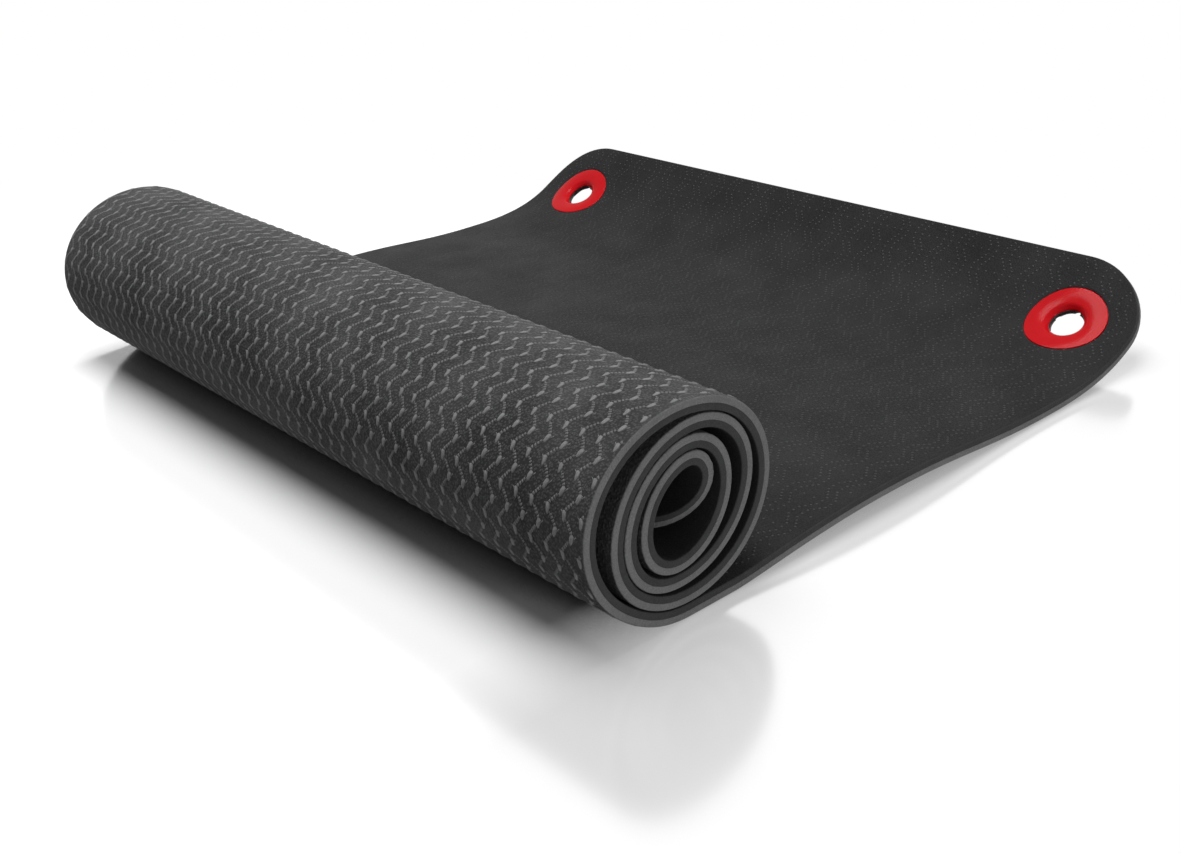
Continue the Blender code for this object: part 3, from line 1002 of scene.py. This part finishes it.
def white_and_painted_light_zone(tree, position, axes):
    """One far off, and under the free end, where it is painted light over the mat's shadow; nought
    elsewhere.
    """
    distance = tree.nodes.new("ShaderNodeVectorMath")
    distance.operation = "LENGTH"
    tree.links.new(position, distance.inputs[0])
    far = carry_range(tree, distance.outputs["Value"], WHITE_DISTANCE, (0, 1), "SMOOTHSTEP")
    # Under the free end: painted light over the mat's shadow
    sides = [carry_range(tree, axes[axis], (low, high), (0, 1)) for axis, low, high in FREE_END_PAINTED_LIGHT_ZONES]
    return calculate(tree, "MAXIMUM", far, calculate(tree, "MULTIPLY", *sides))


def floor_material():
    """Pale glossy floor, white far off, with painted light over the mat's shadow beside the near edge and
    under the free end, all for the camera only.
    """
    material = bpy.data.materials.new("studio_floor")
    material.use_nodes = True
    tree = material.node_tree
    shader = tree.nodes["Principled BSDF"]
    shader.inputs["Roughness"].default_value = 1
    shader.inputs["Specular IOR Level"].default_value = 0
    camera_ray = tree.nodes.new("ShaderNodeLightPath").outputs["Is Camera Ray"]
    position = tree.nodes.new("ShaderNodeNewGeometry").outputs["Position"]
    split = tree.nodes.new("ShaderNodeSeparateXYZ")
    tree.links.new(position, split.inputs[0])
    tree.links.new(floor_shade(tree, camera_ray), shader.inputs["Base Color"])
    # Painted light for the camera: an even glow beside the near edge over the mat's shadow there
    painted_light_glow = tree.nodes.new("ShaderNodeEmission")
    painted_light_glow.inputs["Strength"].default_value = NEAR_PAINTED_LIGHT_LEVEL
    near_painted_light = carry_range(tree, split.outputs["Y"], NEAR_PAINTED_LIGHT_ZONE, (0, NEAR_PAINTED_LIGHT_SHARE))
    near_painted_light_seen = calculate(tree, "MULTIPLY", near_painted_light, camera_ray)
    floor_with_painted_light = mix_shaders(tree, near_painted_light_seen, shader.outputs[0], painted_light_glow.outputs[0])
    mirror = tree.nodes.new("ShaderNodeBsdfGlossy")
    mirror.inputs["Color"].default_value = (1, 1, 1, 1)
    mirror.inputs["Roughness"].default_value = FLOOR_MIRROR_ROUGHNESS
    polished = mix_shaders(tree, FLOOR_MIRROR, floor_with_painted_light, mirror.outputs[0])
    white = tree.nodes.new("ShaderNodeEmission")
    white_and_painted_light_seen = calculate(tree, "MULTIPLY", white_and_painted_light_zone(tree, position, split.outputs), camera_ray)
    finished = mix_shaders(tree, white_and_painted_light_seen, polished, white.outputs[0])
    tree.links.new(finished, tree.nodes["Material Output"].inputs["Surface"])
    return material


def add_floor():
    mesh = bmesh.new()
    bmesh.ops.create_grid(mesh, x_segments=FLOOR_SEGMENTS, y_segments=FLOOR_SEGMENTS, size=FLOOR_SIZE / 2)
    data = bpy.data.meshes.new("floor")
    mesh.to_mesh(data)
    mesh.free()
    floor = new_object("floor", data, floor_material())
    floor.location.z = -FLOOR_DROP


def add_world():
    """Even pale surroundings: white to the camera and in reflections, faint as light on the mat."""
    world = bpy.data.worlds.new("studio")
    bpy.context.scene.world = world
    world.use_nodes = True
    tree = world.node_tree
    background = tree.nodes["Background"]
    background.inputs["Color"].default_value = (1, 1, 1, 1)
    path = tree.nodes.new("ShaderNodeLightPath")
    seen = calculate(tree, "MAXIMUM", path.outputs["Is Camera Ray"], path.outputs["Is Glossy Ray"])
    tree.links.new(carry_range(tree, seen, (0, 1), (WORLD_LEVEL, 1)), background.inputs["Strength"])


def add_lamp(name, place, size, power):
    data = bpy.data.lights.new(name, "AREA")
    data.shape = "DISK"
    data.size = size
    data.energy = power
    lamp = bpy.data.objects.new(name, data)
    bpy.context.scene.collection.objects.link(lamp)
    lamp.location = place
    lamp.rotation_mode = "QUATERNION"
    lamp.rotation_quaternion = (-Vector(place)).to_track_quat("-Z", "Y")


def dress(piece, node):
    """Puts a piece on the mat's one body, in the place of a solid of the frame."""
    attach(piece, "root")
    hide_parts(node)


def add_sheets(sheet, group):
    grip = foam_material("grip_foam", group, *GRIP_FINISH, GRIP_SIDES, face_levels(-GRIP_THICKNESS))
    # The relief's pale tops are painted sheen
    ridge = foam_material("grip_ridges", group, *RIDGE_PAINTED_SHEEN_FINISH, RIDGE_FOOT, PAINTED_SHEEN_LEVELS)
    top = foam_material("top_foam", group, *TOP_FINISH, TOP_SIDES, face_levels(TOP_THICKNESS))
    dots = foam_material("top_dots", group, *DOT_FINISH)
    grip_cuts = (hole_section(), seat_section(SNAP_RADIUS, GRIP_SEAT, -GRIP_THICKNESS))
    top_cuts = (hole_section(), seat_section(FLANGE_RADIUS, TOP_SEAT, TOP_THICKNESS))
    grip_sheet = foam_layer("grip_sheet", -GRIP_THICKNESS, 0, OUTER_EDGE, SEAM_EDGE, grip_cuts, sheet, grip)
    top_sheet = foam_layer("top_sheet", 0, TOP_THICKNESS, SEAM_EDGE, OUTER_EDGE, top_cuts, sheet, top)
    dress(grip_sheet, "grip_layer")
    dress(top_sheet, "top_layer")
    for name, low, high in (
        ("grip_relief_inner", GRIP_FROM, GRIP_SPLITS[0]),
        ("grip_relief_roll", *GRIP_SPLITS),
        ("grip_relief_open", GRIP_SPLITS[1], sheet.length),
    ):
        dress(grip_relief(name, low, high, sheet, ridge), "grip_layer")
    dots_piece = top_relief("top_relief", TOP_RELIEF_FROM, sheet.length, sheet, dots)
    dress(dots_piece, "top_layer")


def add_eyelets(sheet):
    red = plastic_material("red_plastic", *RED_FINISH)
    dark = plastic_material("dark_plastic", *DARK_FINISH)
    for side, sign in (("near", -1), ("far", 1)):
        across = sign * (MAT_WIDTH / 2 - EYELET_FROM_SIDE)
        ring = turned_ring(side + "_eyelet", flange_profile(), across, sheet, red)
        dress(ring, side + "_eyelet_ring")
        snap = turned_ring(side + "_snap", snap_profile(), across, sheet, dark, True)
        dress(snap, side + "_snap_ring")


def build():
    add_camera()
    sheet = Sheet()
    add_sheets(sheet, foam_skin_group())
    add_eyelets(sheet)
    add_floor()
    add_world()
    for lamp in LAMPS:
        add_lamp(*lamp)
    bpy.context.scene.view_settings.view_transform = "Standard"


build()
bpy.context.view_layer.update()
